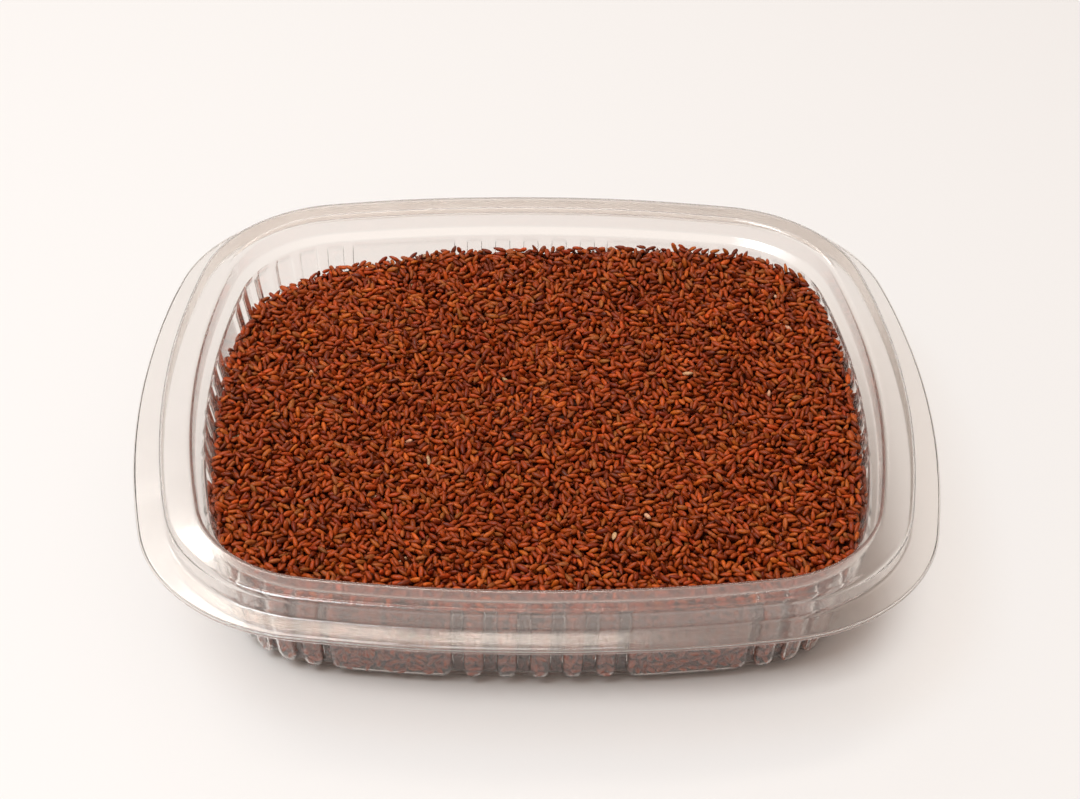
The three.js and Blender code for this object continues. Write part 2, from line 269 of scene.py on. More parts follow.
def build_tub():
    path = profile()
    s = columns()
    cols = len(s)
    phi = direction(s % FULL)
    # the side direction of the sheet at each row
    seg = np.diff(path, axis=0)
    seg /= np.linalg.norm(seg, axis=1)[:, None]
    t = np.concatenate([seg[:1], seg[:-1] + seg[1:], seg[-1:]])
    t /= np.linalg.norm(t, axis=1)[:, None]
    nrm = np.stack([-t[:, 1], t[:, 0]], 1)  # towards the inside and the top
    rows_out, rows_in = [], []
    for (o, z), n in zip(path, nrm):
        rel = relief(s % FULL, np.full(cols, z)) if LOW_Z - 1 < z < 26.8 and o < -0.6 else np.zeros(cols)
        if z < WALL_LOW[1] + 0.5 and o < -6:  # over the foot the flutes keep to the wall's slope
            rel = rel * (1 + (wall_at(z) - o) / FLUTE_RISE)
        # the rim of a formed sheet is never quite flat
        w = smooth((o - RISER_OUT + 1.5) / 6.0) if z < FLANGE_Z + 1 and o > 0 else 0.35 * float(smooth((z - 28.7) / 1.5))
        wave = w * (0.055 * np.sin(s / FULL * 2 * math.pi * 9 + 1.0) + 0.03 * np.sin(s / FULL * 2 * math.pi * 17 + 4.0) + 0.01 * np.sin(s / FULL * 2 * math.pi * 31 + 2.2))
        for rows, side in ((rows_out, -1), (rows_in, 1)):
            oo, zz = o + side * n[0] * SHEET / 2 + rel, z + side * n[1] * SHEET / 2 + wave
            x, y = ring(phi, oo)
            rows.append(np.stack([x, y, np.maximum(zz, 0.0) * np.ones(cols)], 1))
    # a closed skin: outer side from the base to the lip, then the inner side back to the floor
    rows = rows_out + rows_in[::-1]
    # the lip's edge is rounded by one more row
    k = len(rows_out)
    e_dir = seg[-1]
    x, y = ring(phi, path[-1][0] + e_dir[0] * SHEET * 0.35)
    edge = np.stack([x, y, np.full(cols, path[-1][1] + e_dir[1] * SHEET * 0.35)], 1)
    rows.insert(k, edge)
    # the floor goes on to the middle: outer side first, inner side last
    def floor_rows(z):
        out = []
        for o in (BASE_IN - 9, BASE_IN - 20):
            x, y = ring(phi, max(o, -24.0))
            out.append(np.stack([x, y, np.full(cols, z)], 1))
        return out

    low, high = floor_rows(0.0), floor_rows(SHEET)
    rows = low[::-1] + rows + high
    rows = np.array(rows)
    n_rows = len(rows)
    idx = np.arange(n_rows * cols).reshape(n_rows, cols)
    a, b = idx[:-1], idx[1:]
    quads = np.stack([a, np.roll(a, -1, 1), np.roll(b, -1, 1), b], -1).reshape(-1, 4)
    verts = np.concatenate([rows.reshape(-1, 3), [[0, 0, 0.0], [0, 0, SHEET]]])
    lo, hi = len(verts) - 2, len(verts) - 1
    c = np.arange(cols)
    c1 = (c + 1) % cols
    tris = np.concatenate([np.stack([idx[0][c1], idx[0][c], np.full(cols, lo)], 1), np.stack([idx[-1][c], idx[-1][c1], np.full(cols, hi)], 1)])
    return mesh_object("tub_clear", verts, [quads, tris])


tub = build_tub()
print("tub faces", len(tub.data.polygons), "tris", sum(len(p.vertices) - 2 for p in tub.data.polygons))

# ---------------------------------------------------------------------------------------------
# the heap: loose seeds laid one by one on a height field, and pressed against the wall
# ---------------------------------------------------------------------------------------------
SEED_LEVEL, SEED_RIPPLE = 23.2, 0.45
SEED_RIM = [23.8, 24.6, 25.2, 25.1, 24.4, 23.6, 23.2, 22.9, 20.8, 18.6, 20.4, 21.9, 21.6, 21.8, 22.2, 22.5, 22.8, 22.8, 22.9, 22.9, 22.8, 22.7, 22.8, 23.2]
GRID = 0.12


def rim_level(angle):
    t = (angle / (2 * math.pi) * 24) % 24
    i = np.floor(t).astype(int)
    f = smooth(t - i)
    lev = np.array(SEED_RIM)
    return lev[i % 24] * (1 - f) + lev[(i + 1) % 24] * f


def seed_level(x, y, off):
    """Height of the heap's top."""
    lev = rim_level(np.arctan2(y / HALF_D, x / HALF_W))
    r = np.clip(1 + (off + 2.7) / 55.0, 0, 1)
    w = r**3
    ripple = 0.5 * np.sin(0.115 * x + 0.06 * y + 0.8) + 0.45 * np.sin(-0.09 * x + 0.135 * y + 2.1) + 0.35 * np.sin(0.31 * x + 0.2 * y + 4.0) + 0.3 * np.sin(0.17 * x - 0.37 * y + 1.3) + 0.25 * np.sin(0.46 * x + 0.41 * y)
    return SEED_LEVEL * (1 - w) + lev * w + SEED_RIPPLE * ripple * (1 - 0.5 * w)


def turn(yaw, pitch, roll):
    cy, sy, cp, sp, cr, sr = math.cos(yaw), math.sin(yaw), math.cos(pitch), math.sin(pitch), math.cos(roll), math.sin(roll)
    rz = np.array([[cy, -sy, 0], [sy, cy, 0], [0, 0, 1]])
    ry = np.array([[cp, 0, -sp], [0, 1, 0], [sp, 0, cp]])
    rx = np.array([[1, 0, 0], [0, cr, -sr], [0, sr, cr]])
    return rz @ ry @ rx


class Shape:
    """A seed's size and lie, with the heights of its lower and upper side on the grid."""

    def __init__(self, rng, pitch_sd, roll_sd, steep):
        big = rng.normal(0, 1)
        self.axes = np.array([np.clip(1.28 + 0.09 * big + rng.normal(0, 0.08), 1.05, 1.52), np.clip(0.51 + 0.025 * big + rng.normal(0, 0.04), 0.42, 0.62), np.clip(0.44 + 0.02 * big + rng.normal(0, 0.025), 0.37, 0.51)])
        pitch = rng.normal(0, pitch_sd)
        if rng.random() < steep:
            pitch = rng.choice([-1, 1]) * rng.uniform(0.5, 1.15)
        self.rot = turn(rng.uniform(0, 2 * math.pi), float(np.clip(pitch, -1.3, 1.3)), rng.normal(0, roll_sd))
        a = self.axes * 0.985
        m = self.rot @ np.diag(1 / a**2) @ self.rot.T
        hx, hy = (math.sqrt(sum((self.rot[k, j] * a[j]) ** 2 for j in range(3))) for k in (0, 1))
        self.nx, self.ny = int(hx / GRID) + 1, int(hy / GRID) + 1
        dx, dy = np.meshgrid(np.arange(-self.nx, self.nx + 1) * GRID, np.arange(-self.ny, self.ny + 1) * GRID)
        disc = (m[0, 2] * dx + m[1, 2] * dy) ** 2 - m[2, 2] * (m[0, 0] * dx**2 + 2 * m[0, 1] * dx * dy + m[1, 1] * dy**2 - 1)
        ok = disc > 0
        root = np.sqrt(np.where(ok, disc, 0))
        base = -(m[0, 2] * dx + m[1, 2] * dy)
        self.low = np.where(ok, (base - root) / m[2, 2], 1e6).astype(np.float32)
        self.up = np.where(ok, (base + root) / m[2, 2], -1e6).astype(np.float32)
        self.mask = ok
        self.count = int(ok.sum())
        self.lowsum = float(self.low[ok].sum())


def lay(H, ids, target, spots, shapes, rng, n_max, tries, room, above, wrap=0, first_id=0):
    """Lays seeds in the deepest of a few random spots, each in the best of several lies, until the target is reached."""
    placed, fails = [], 0
    ny, nx = H.shape
    n_shapes = len(shapes)
    while len(placed) < n_max and fails < 160:
        pick = spots[rng.integers(0, len(spots), 9)]
        need = target[pick[:, 0], pick[:, 1]] - H[pick[:, 0], pick[:, 1]]
        k = int(np.argmax(need))
        if need[k] < room:
            fails += 1
            continue
        j0, i0 = int(pick[k, 0]), int(pick[k, 1])
        best = None
        jit = rng.integers(-6, 7, (tries, 2))
        for t, si in enumerate(rng.integers(0, n_shapes, tries)):
            sh = shapes[si]
            j, i = j0 + int(jit[t, 0]), i0 + int(jit[t, 1])
            if j < sh.ny or i < sh.nx or j + sh.ny >= ny or i + sh.nx >= nx:
                continue
            h = H[j - sh.ny : j + sh.ny + 1, i - sh.nx : i + sh.nx + 1]
            z = float((h - sh.low).max())
            gap = z - (float(h[sh.mask].sum()) - sh.lowsum) / sh.count
            score = z + 0.55 * gap
            if best is None or score < best[0]:
                best = (score, z, si, j, i)
        if best is None:
            fails += 1
            continue
        _, z, si, j, i = best
        if z > target[j, i] + above:
            fails += 1
            continue
        fails = 0
        sh = shapes[si]
        centres = [(j, i)]
        if wrap:
            centres += [(j, i + wrap), (j, i - wrap)]
        for jj, ii in centres:
            a0, a1, b0, b1 = jj - sh.ny, jj + sh.ny + 1, ii - sh.nx, ii + sh.nx + 1
            c0, c1 = max(0, b0), min(nx, b1)
            if c0 >= c1:
                continue
            h = H[a0:a1, c0:c1]
            up = sh.up[:, c0 - b0 : c1 - b0] + z
            over = up > h
            h[over] = up[over]
            ids[a0:a1, c0:c1][over] = first_id + len(placed)
        placed.append((i, j, z, si))
    return placed


def heap():
    rng = np.random.default_rng(41)
    # --- against the wall: columns follow the arc length, rows the height, depth grows inwards
    pad = 26
    n_s = int(round(FULL / GRID))
    step_s = FULL / n_s
    z_of = lambda row: 0.4 + row * GRID
    n_z = int(27.5 / GRID)
    s_grid = (np.arange(n_s + 2 * pad) - pad) * step_s
    z_grid = z_of(np.arange(n_z))
    rel = relief((s_grid % FULL)[None, :] * np.ones((n_z, 1)), z_grid[:, None] * np.ones((1, len(s_grid))))
    px, py = ring(direction(s_grid % FULL), -3.0)
    level = seed_level(px, py, np.full(len(px), -2.9))
    recess = np.where(z_grid < WALL_LOW[1], wall_at(z_grid) - foot_at(z_grid), 0.0)
    Hw = (-rel + (1 - rel / FLUTE_RISE) * recess[:, None]).astype(np.float32)
    Hw[z_grid[:, None] > level[None, :] - 1.0] = 50.0
    Hw[z_grid < 2.3] = 50.0
    Hw[(z_grid < 3.2)[:, None] & (rel < 0.4 * FLUTE_RISE)] = 50.0
    idw = np.full(Hw.shape, -1, np.int32)
    wall_shapes = [Shape(rng, 0.18, 0.5, 0.03) for _ in range(420)]
    jj, ii = np.nonzero(Hw < 10)
    spots = np.stack([jj, ii], 1)
    spots = spots[(spots[:, 1] >= pad) & (spots[:, 1] < pad + n_s)]
    # the first layer is seen: what touches the wall; the second fills its gaps
    tw = np.full(Hw.shape, 1.55, np.float32)
    wall = lay(Hw, idw, tw, spots, wall_shapes, rng, 6500, 10, 0.74, -0.35, wrap=n_s)
    # a seed is seen from outside if its lower side is the nearest one at enough places
    low_map = np.full(Hw.shape, 1e6, np.float32)
    low_id = np.full(Hw.shape, -1, np.int32)
    for n, (i, j, z, si) in enumerate(wall):
        sh = wall_shapes[si]
        b0, b1 = i - sh.nx, i + sh.nx + 1
        h = low_map[j - sh.ny : j + sh.ny + 1, b0:b1]
        lo = sh.low + z
        u = lo < h
        h[u] = lo[u]
        low_id[j - sh.ny : j + sh.ny + 1, b0:b1][u] = n
    seen_w = np.bincount(low_id[low_id >= 0], minlength=len(wall))
    out = []
    for n, (i, j, z, si) in enumerate(wall):
        sh = wall_shapes[si]
        s, zz = (i - pad) * step_s, z_of(j)
        phi = float(direction(s % FULL))
        slope = (WALL_HIGH[0] - WALL_LOW[0]) / (WALL_HIGH[1] - WALL_LOW[1])
        e_s = np.array([-math.sin(phi), math.cos(phi), 0.0])
        e_out = np.array([math.cos(phi), math.sin(phi), 0.0])
        e_up = e_out * slope + np.array([0, 0, 1.0])
        e_up /= np.linalg.norm(e_up)
        e_in = np.cross(e_s, e_up)
        if e_in @ e_out > 0:
            e_in = -e_in
        basis = np.stack([e_s, e_up, e_in], 1)
        x0, y0 = ring(phi, wall_at(zz) - SHEET / 2 + 0.06)
        c = np.array([float(x0), float(y0), zz]) + e_in * z
        rot = basis @ sh.rot
        if np.linalg.det(rot) < 0:
            rot[:, 1] = -rot[:, 1]
        # the last value paints light and shade into the colour: seeds in a flute are brightened as if better lit, those
        # in the recessed gaps between flutes darkened as painted shade
        out.append((c, rot, sh.axes, int(seen_w[n]), int(sh.count), 1, 1.5 if float(relief(s % FULL, zz)) > 0.5 * FLUTE_RISE else 0.75))
    # --- the top
    n_x, n_y = int(140 / GRID), int(128 / GRID)
    gx = (np.arange(n_x) - (n_x - 1) / 2) * GRID
    gy = (np.arange(n_y) - (n_y - 1) / 2) * GRID
    X, Y = np.meshgrid(gx, gy)
    off, s = outline_place(X, Y)
    target = seed_level(X, Y, off).astype(np.float32)
    slope = (WALL_HIGH[0] - WALL_LOW[0]) / (WALL_HIGH[1] - WALL_LOW[1])
    H_wall = (off + SHEET / 2 + 0.05 - WALL_LOW[0]) / slope + WALL_LOW[1]
    H = np.maximum(target - 2.75, H_wall).astype(np.float32)
    H[off > -2.35] = 60.0
    ids = np.full(H.shape, -1, np.int32)
    # the wall's seeds already lie there
    base_ids = 0
    for c, rot, axes, _, _, _, _ in out:
        if c[2] < 16.5:
            continue
        a = axes
        m = rot @ np.diag(1 / a**2) @ rot.T
        i, j = int(round((c[0] - gx[0]) / GRID)), int(round((c[1] - gy[0]) / GRID))
        r = 13
        if i < r or j < r or i + r >= n_x or j + r >= n_y:
            continue
        dx, dy = X[j - r : j + r + 1, i - r : i + r + 1] - c[0], Y[j - r : j + r + 1, i - r : i + r + 1] - c[1]
        disc = (m[0, 2] * dx + m[1, 2] * dy) ** 2 - m[2, 2] * (m[0, 0] * dx**2 + 2 * m[0, 1] * dx * dy + m[1, 1] * dy**2 - 1)
        ok = disc > 0
        up = (-(m[0, 2] * dx + m[1, 2] * dy) + np.sqrt(np.where(ok, disc, 0))) / m[2, 2] + c[2]
        h = H[j - r : j + r + 1, i - r : i + r + 1]
        u = ok & (up > h)
        h[u] = up[u]
    shapes = [Shape(rng, 0.38, 0.9, 0.16) for _ in range(560)]
    inside = off < -3.0
    jj, ii = np.nonzero(inside)
    spots = np.stack([jj, ii], 1)
    top = lay(H, ids, target, spots, shapes, rng, 20000, 8, 0.66, -0.15)
    seen = np.bincount(ids[ids >= 0], minlength=len(top))
    for n, (i, j, z, si) in enumerate(top):
        sh = shapes[si]
        out.append((np.array([gx[i], gy[j], z]), sh.rot, sh.axes, int(seen[n]), int(sh.count), 0, 1.0))
    return out, (gx, gy, H, ids, target, off)


def seed_template(n_col, n_ring):
    """Points of a seed of unit size: t runs along it, towards its narrow end, and a goes round it."""
    t = -np.cos(np.pi * np.arange(1, n_ring + 1) / (n_ring + 1))
    ang = 2 * np.pi * np.arange(n_col) / n_col
    T, A = np.meshgrid(t, ang, indexing="ij")
    T, A = T.ravel(), A.ravel()
    T = np.concatenate([[-1.0], T, [1.0]])
    A = np.concatenate([[0.0], A, [0.0]])
    faces = []
    grid = 1 + np.arange(n_ring * n_col).reshape(n_ring, n_col)
    tri, tri_uv, quad, quad_uv = [], [], [], []
    for k in range(n_col):
        k1 = (k + 1) % n_col
        tri.append((0, grid[0, k1], grid[0, k]))
        tri_uv.append(((k + 0.5, 0), (k + 1, 1), (k, 1)))
        tri.append((n_ring * n_col + 1, grid[-1, k], grid[-1, k1]))
        tri_uv.append(((k + 0.5, n_ring + 1), (k, n_ring), (k + 1, n_ring)))
        for r in range(n_ring - 1):
            quad.append((grid[r, k], grid[r, k1], grid[r + 1, k1], grid[r + 1, k]))
            quad_uv.append(((k, r + 1), (k + 1, r + 1), (k + 1, r + 2), (k, r + 2)))
    uvs = (np.array(tri_uv, float) / (n_col, n_ring + 1), np.array(quad_uv, float) / (n_col, n_ring + 1))
    return T, A, np.array(tri), np.array(quad), uvs


def seed_mesh(name, items, rng, template, tints):
    """One mesh of many seeds: items are (centre, rotation, half sizes); tints one colour a seed."""
    T, A, tri, quad, (tuv, quv) = template
    n, v = len(items), len(T)
    c = np.array([it[0] for it in items])
    rot = np.array([it[1] for it in items])
    ax = np.array([it[2] for it in items])
    flip = np.where(rng.random(n) < 0.5, -1.0, 1.0)
    narrow = rng.uniform(0.14, 0.30, n)[:, None]
    bend = rng.normal(0, 0.05, n)[:, None]
    groove = rng.uniform(0.05, 0.13, n)[:, None]
    tt, aa = T[None, :], A[None, :]
    rho = np.sqrt(np.clip(1 - tt**2, 0, 1)) * (1 - narrow * tt - 0.06 * tt**2) * 1.03
    # the furrow along each flat face, from the narrow end towards the middle
    face = np.exp(-(((np.abs(np.sin(aa)) - 1.0) / 0.16) ** 2)) * (np.abs(tt) < 0.999)
    run = 1 / (1 + np.exp(-(tt + 0.15) * 7)) * (tt < 0.97)
    rho_z = rho * (1 - groove * face * run)
    # one edge of the cross-section is fuller than the other
    x = (tt + 0.05 * np.clip(tt, 0, 1) ** 3) * np.ones((n, 1))
    y = rho * np.cos(aa) * (1 + 0.05 * np.cos(aa)) + bend * (1 - tt**2)
    z = rho_z * np.sin(aa) * (1 - 0.10 * np.cos(aa))
    loc = np.stack([x * ax[:, :1] * flip[:, None], y * ax[:, 1:2] * flip[:, None], z * ax[:, 2:]], -1)
    P = np.einsum("nij,nvj->nvi", rot, loc) + c[:, None, :]
    base = (np.arange(n) * v)[:, None, None]
    tris, quads = (tri[None] + base).reshape(-1, 3), (quad[None] + base).reshape(-1, 4)
    ob = mesh_object(name, P.reshape(-1, 3), [tris, quads])
    me = ob.data
    # an own patch of the map for each seed
    side = int(math.ceil(math.sqrt(n)))
    cell = 1.0 / side
    origin = np.stack([(np.arange(n) % side) * cell, (np.arange(n) // side) * cell], 1)
    inner = 0.86
    place = lambda uv: (origin[:, None, None, :] + cell * (0.07 + inner * uv[None])).reshape(-1, 2)
    uv = np.concatenate([place(tuv), place(quv)]).astype(np.float32)
    layer = me.uv_layers.new(name="OFBake")
    layer.data.foreach_set("uv", uv.ravel())
    col = me.color_attributes.new("tint", "FLOAT_COLOR", "POINT")
    rgba = np.ones((n, v, 4), np.float32)
    rgba[:, :, :3] = tints[:, None, :]
    col.data.foreach_set("color", rgba.ravel())
    at = me.attributes.new("at", "FLOAT_VECTOR", "POINT")
    local = np.stack([tt * np.ones((n, 1)), np.cos(aa) * np.ones((n, 1)), np.sin(aa) * np.ones((n, 1))], -1).astype(np.float32)
    at.data.foreach_set("vector", local.ravel())
    return ob


def seed_tints(kind, n, rng, tone, painted_haze_and_shade):
    """Base colours of n seeds of one kind, linear. Those pressed against the sheet get a painted veil of the sheet's
    haze and the shade they lie in; tone scales them with painted light and shade.
    """
    mean, spread, drift = {
        "russet": ((0.375, 0.056, 0.0062), 0.17, 0.06),
        "dark": ((0.225, 0.029, 0.0040), 0.20, 0.07),
        "orange": ((0.470, 0.095, 0.0110), 0.14, 0.06),
        "tan": ((0.360, 0.088, 0.0160), 0.16, 0.06),
        "pale": ((0.66, 0.38, 0.21), 0.10, 0.05),
    }[kind]
    v = np.exp(rng.normal(0, spread, n))[:, None]
    h = np.exp(rng.normal(0, drift, (n, 3)))
    c = np.array(mean) * v * h
    if painted_haze_and_shade:
        # painted haze and shade: mixed toward a greyed brown that stands for the sheet's scattered haze over seeds in
        # shade
        c = 0.22 * c + 0.78 * np.array((0.162, 0.055, 0.034)) * v**0.4
    # tone paints light and shade: brighter in the flutes, darker in the gaps between them
    return c * tone


def build_seeds():
    items, maps = heap()
    rng = np.random.default_rng(7)
    keep = [it for it in items if it[3] > (0.18 if it[5] else 0.09) * it[4]]
    kinds = rng.choice(["russet", "dark", "orange", "tan", "pale"], len(keep), p=[0.578, 0.23, 0.14, 0.05, 0.002])
    shapes = {"top": seed_template(7, 4), "under": seed_template(6, 3), "wall": seed_template(6, 3)}
    pieces, total = [], 0
    groups = {}
    for it, kd in zip(keep, kinds):
        where = "wall" if it[5] else ("top" if it[3] > 0.30 * it[4] else "under")
        groups.setdefault((where, kd), []).append(it)
    for (where, kd), its in sorted(groups.items()):
        # no piece over about 190,000 triangles
        each = len(shapes[where][2]) + 2 * len(shapes[where][3])
        parts = int(math.ceil(len(its) * each / 190000))
        for k in range(parts):
            some = its[k::parts]
            # it[6] carries the wall seeds' painted light and shade
            ob = seed_mesh("seeds_%s_%s%s" % (kd, where, "" if parts == 1 else "_%d" % (k + 1)), some, rng, shapes[where], seed_tints(kd, len(some), rng, np.array([it[6] for it in some])[:, None], where == "wall"))
            total += len(some) * each
            pieces.append(ob)
    print("seeds kept", len(keep), "of", len(items), "triangles", total)
    return pieces, maps


def build_core(maps):
    """The heap's inside: a closed body whose top carries the lower seeds' relief, kept below the loose ones."""
    gx, gy, H, ids, target, off = maps
    n_a, n_r = 250, 32
    s = np.arange(n_a) * FULL / n_a
    phi = direction(s)
    rng = np.random.default_rng(5)
    rings = []
    # bottom, from the middle outwards; then the side; then the top, back to the middle
    px, py = ring(phi, -3.0)
    level = seed_level(px, py, np.full(n_a, -2.9)) - 1.35

    def flat_ring(f, off, z):
        x, y = ring(phi, off)
        return np.stack([x * f, y * f, np.full(n_a, z)], 1)

    for f in (0.12, 0.3, 0.5, 0.7, 0.85, 0.95):
        rings.append(flat_ring(f, BASE_IN - 0.5, SHEET - 0.08))
    rings.append(flat_ring(1.0, BASE_IN - 0.2, SHEET - 0.08))
    rings.append(flat_ring(1.0, foot_at(1.2) - 0.34, 1.2))
    z_side = [2.3, 3.4, 5, 7, 9, 11, 13, 15, 17]
    for k, z in enumerate(z_side):
        zz = np.minimum(z, level - 0.4 * (len(z_side) - k))
        bumps = 0.16 * np.sin(s * 2.1 + k * 1.9) + 0.12 * rng.standard_normal(n_a)
        x, y = ring(phi, wall_at(zz) - SHEET / 2 - 1.15 + bumps if z > 3 else foot_at(zz) - 0.34)
        rings.append(np.stack([x, y, zz], 1))
    top_off = wall_at(level) - SHEET / 2 - 1.05
    ex, ey = ring(phi, top_off)
    for k in range(n_r):
        f = 1 - (k / n_r) ** 1.0
        if f < 0.02:
            break
        x, y = ex * f, ey * f
        o2 = np.interp(f, [0, 1], [-60, -3.6])
        z = seed_level(x, y, outline_place(x, y)[0]) - 2.15 + 0.22 * rng.standard_normal(n_a)
        if k == 0:
            z = level
        rings.append(np.stack([x, y, z], 1))
    V = np.concatenate(rings)
    idx = np.arange(len(V)).reshape(len(rings), n_a)
    a, b = idx[:-1], idx[1:]
    quads = np.stack([a, np.roll(a, -1, 1), np.roll(b, -1, 1), b], -1).reshape(-1, 4)
    V = np.concatenate([V, [[0, 0, SHEET - 0.08], [0, 0, SEED_LEVEL - 2.1]]])
    lo, hi = len(V) - 2, len(V) - 1
    tris = [(idx[0, (k + 1) % n_a], idx[0, k], lo) for k in range(n_a)] + [(idx[-1, k], idx[-1, (k + 1) % n_a], hi) for k in range(n_a)]
    return mesh_object("seeds_core", V, [quads, np.array(tris)])


# ---------------------------------------------------------------------------------------------
# camera: fitted to the tub's rim lines
# ---------------------------------------------------------------------------------------------
CAM_E, CAM_F, CAM_D, CAM_V0, CAM_X0 = math.radians(37.33), 2342.27, 473.58, -21.08, -0.77
CAM_YAW, CAM_ROLL, CAM_ZREF = math.radians(2.07), math.radians(1.49), 30.8


def make_camera():
    cam = bpy.data.cameras.new("camera")
    cam.sensor_width = 36.0
    cam.sensor_fit = "HORIZONTAL"
    cam.lens = CAM_F / 1080 * 36.0
    cam.clip_start, cam.clip_end = 0.01, 20.0
    ob = bpy.data.objects.new("camera", cam)
    bpy.context.scene.collection.objects.link(ob)
    rz = Matrix.Rotation(-CAM_YAW, 3, "Z")
    e = CAM_E
    loc = rz @ Vector((-CAM_X0, -CAM_D * math.cos(e), CAM_D * math.sin(e)))
    loc.z += CAM_ZREF
    right0, up0, fwd = Vector((1, 0, 0)), Vector((0, math.sin(e), math.cos(e))), Vector((0, math.cos(e), -math.sin(e)))
    r = CAM_ROLL
    right = right0 * math.cos(r) + up0 * math.sin(r)
    up = up0 * math.cos(r) - right0 * math.sin(r)
    m = Matrix((right, up, -fwd)).transposed()
    ob.matrix_world = Matrix.Translation(loc * MM) @ (rz @ m).to_4x4()
    # the picture's centre lies a little off the lens axis
    sx, sy = -CAM_V0 * math.sin(r), CAM_V0 * math.cos(r)
    cam.shift_x = -sx / 1080
    cam.shift_y = sy / 1080
    bpy.context.scene.camera = ob
    return ob


make_camera()

# ---------------------------------------------------------------------------------------------
# materials
# ---------------------------------------------------------------------------------------------
def material(name):
    m = bpy.data.materials.new(name)
    m.use_nodes = True
    m.node_tree.nodes.clear()
    return m, m.node_tree.nodes, m.node_tree.links


def plastic_material():
    """Thermoformed clear sheet: glass-like, a little hazy, with a glossy skin."""
    m, N, L = material("clear_plastic")
    out = N.new("ShaderNodeOutputMaterial")
    coord = N.new("ShaderNodeTexCoord")
    p = N.new("ShaderNodeBsdfPrincipled")
    # so thin a sheet casts next to no shadow: lamps and scattered light pass straight through it
    path = N.new("ShaderNodeLightPath")
    either = N.new("ShaderNodeMath")
    either.operation = "MAXIMUM"
    L.new(path.outputs["Is Shadow Ray"], either.inputs[0])
    L.new(path.outputs["Is Diffuse Ray"], either.inputs[1])
    clear = N.new("ShaderNodeBsdfTransparent")
    clear.inputs["Color"].default_value = (0.960, 0.943, 0.928, 1)
    mix = N.new("ShaderNodeMixShader")
    L.new(either.outputs[0], mix.inputs[0])
    L.new(p.outputs[0], mix.inputs[1])
    L.new(clear.outputs[0], mix.inputs[2])
    L.new(mix.outputs[0], out.inputs[0])
    # the haze isn't even: faint clouds and flow marks of the formed sheet
    noise = N.new("ShaderNodeTexNoise")
    noise.inputs["Scale"].default_value = 140.0
    noise.inputs["Detail"].default_value = 4.0
    L.new(coord.outputs["Object"], noise.inputs["Vector"])
    rough = N.new("ShaderNodeMapRange")
    rough.inputs["From Min"].default_value, rough.inputs["From Max"].default_value = 0.3, 0.7
    rough.inputs["To Min"].default_value, rough.inputs["To Max"].default_value = 0.09, 0.15
    L.new(noise.outputs["Fac"], rough.inputs["Value"])
    L.new(rough.outputs["Result"], p.inputs["Roughness"])
    bump = N.new("ShaderNodeBump")
    bump.inputs["Strength"].default_value = 0.05
    bump.inputs["Distance"].default_value = 0.0002
    L.new(noise.outputs["Fac"], bump.inputs["Height"])
    L.new(bump.outputs[0], p.inputs["Normal"])
    p.inputs["Base Color"].default_value = (0.985, 0.953, 0.925, 1)
    p.inputs["Transmission Weight"].default_value = 0.98
    p.inputs["IOR"].default_value = 1.45
    p.inputs["Specular IOR Level"].default_value = 0.18
    p.inputs["Coat Weight"].default_value = 0.35
    p.inputs["Coat Roughness"].default_value = 0.03
    return m


m = plastic_material()
tub.data.materials.append(m)
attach(tub, "root")
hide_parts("tub")

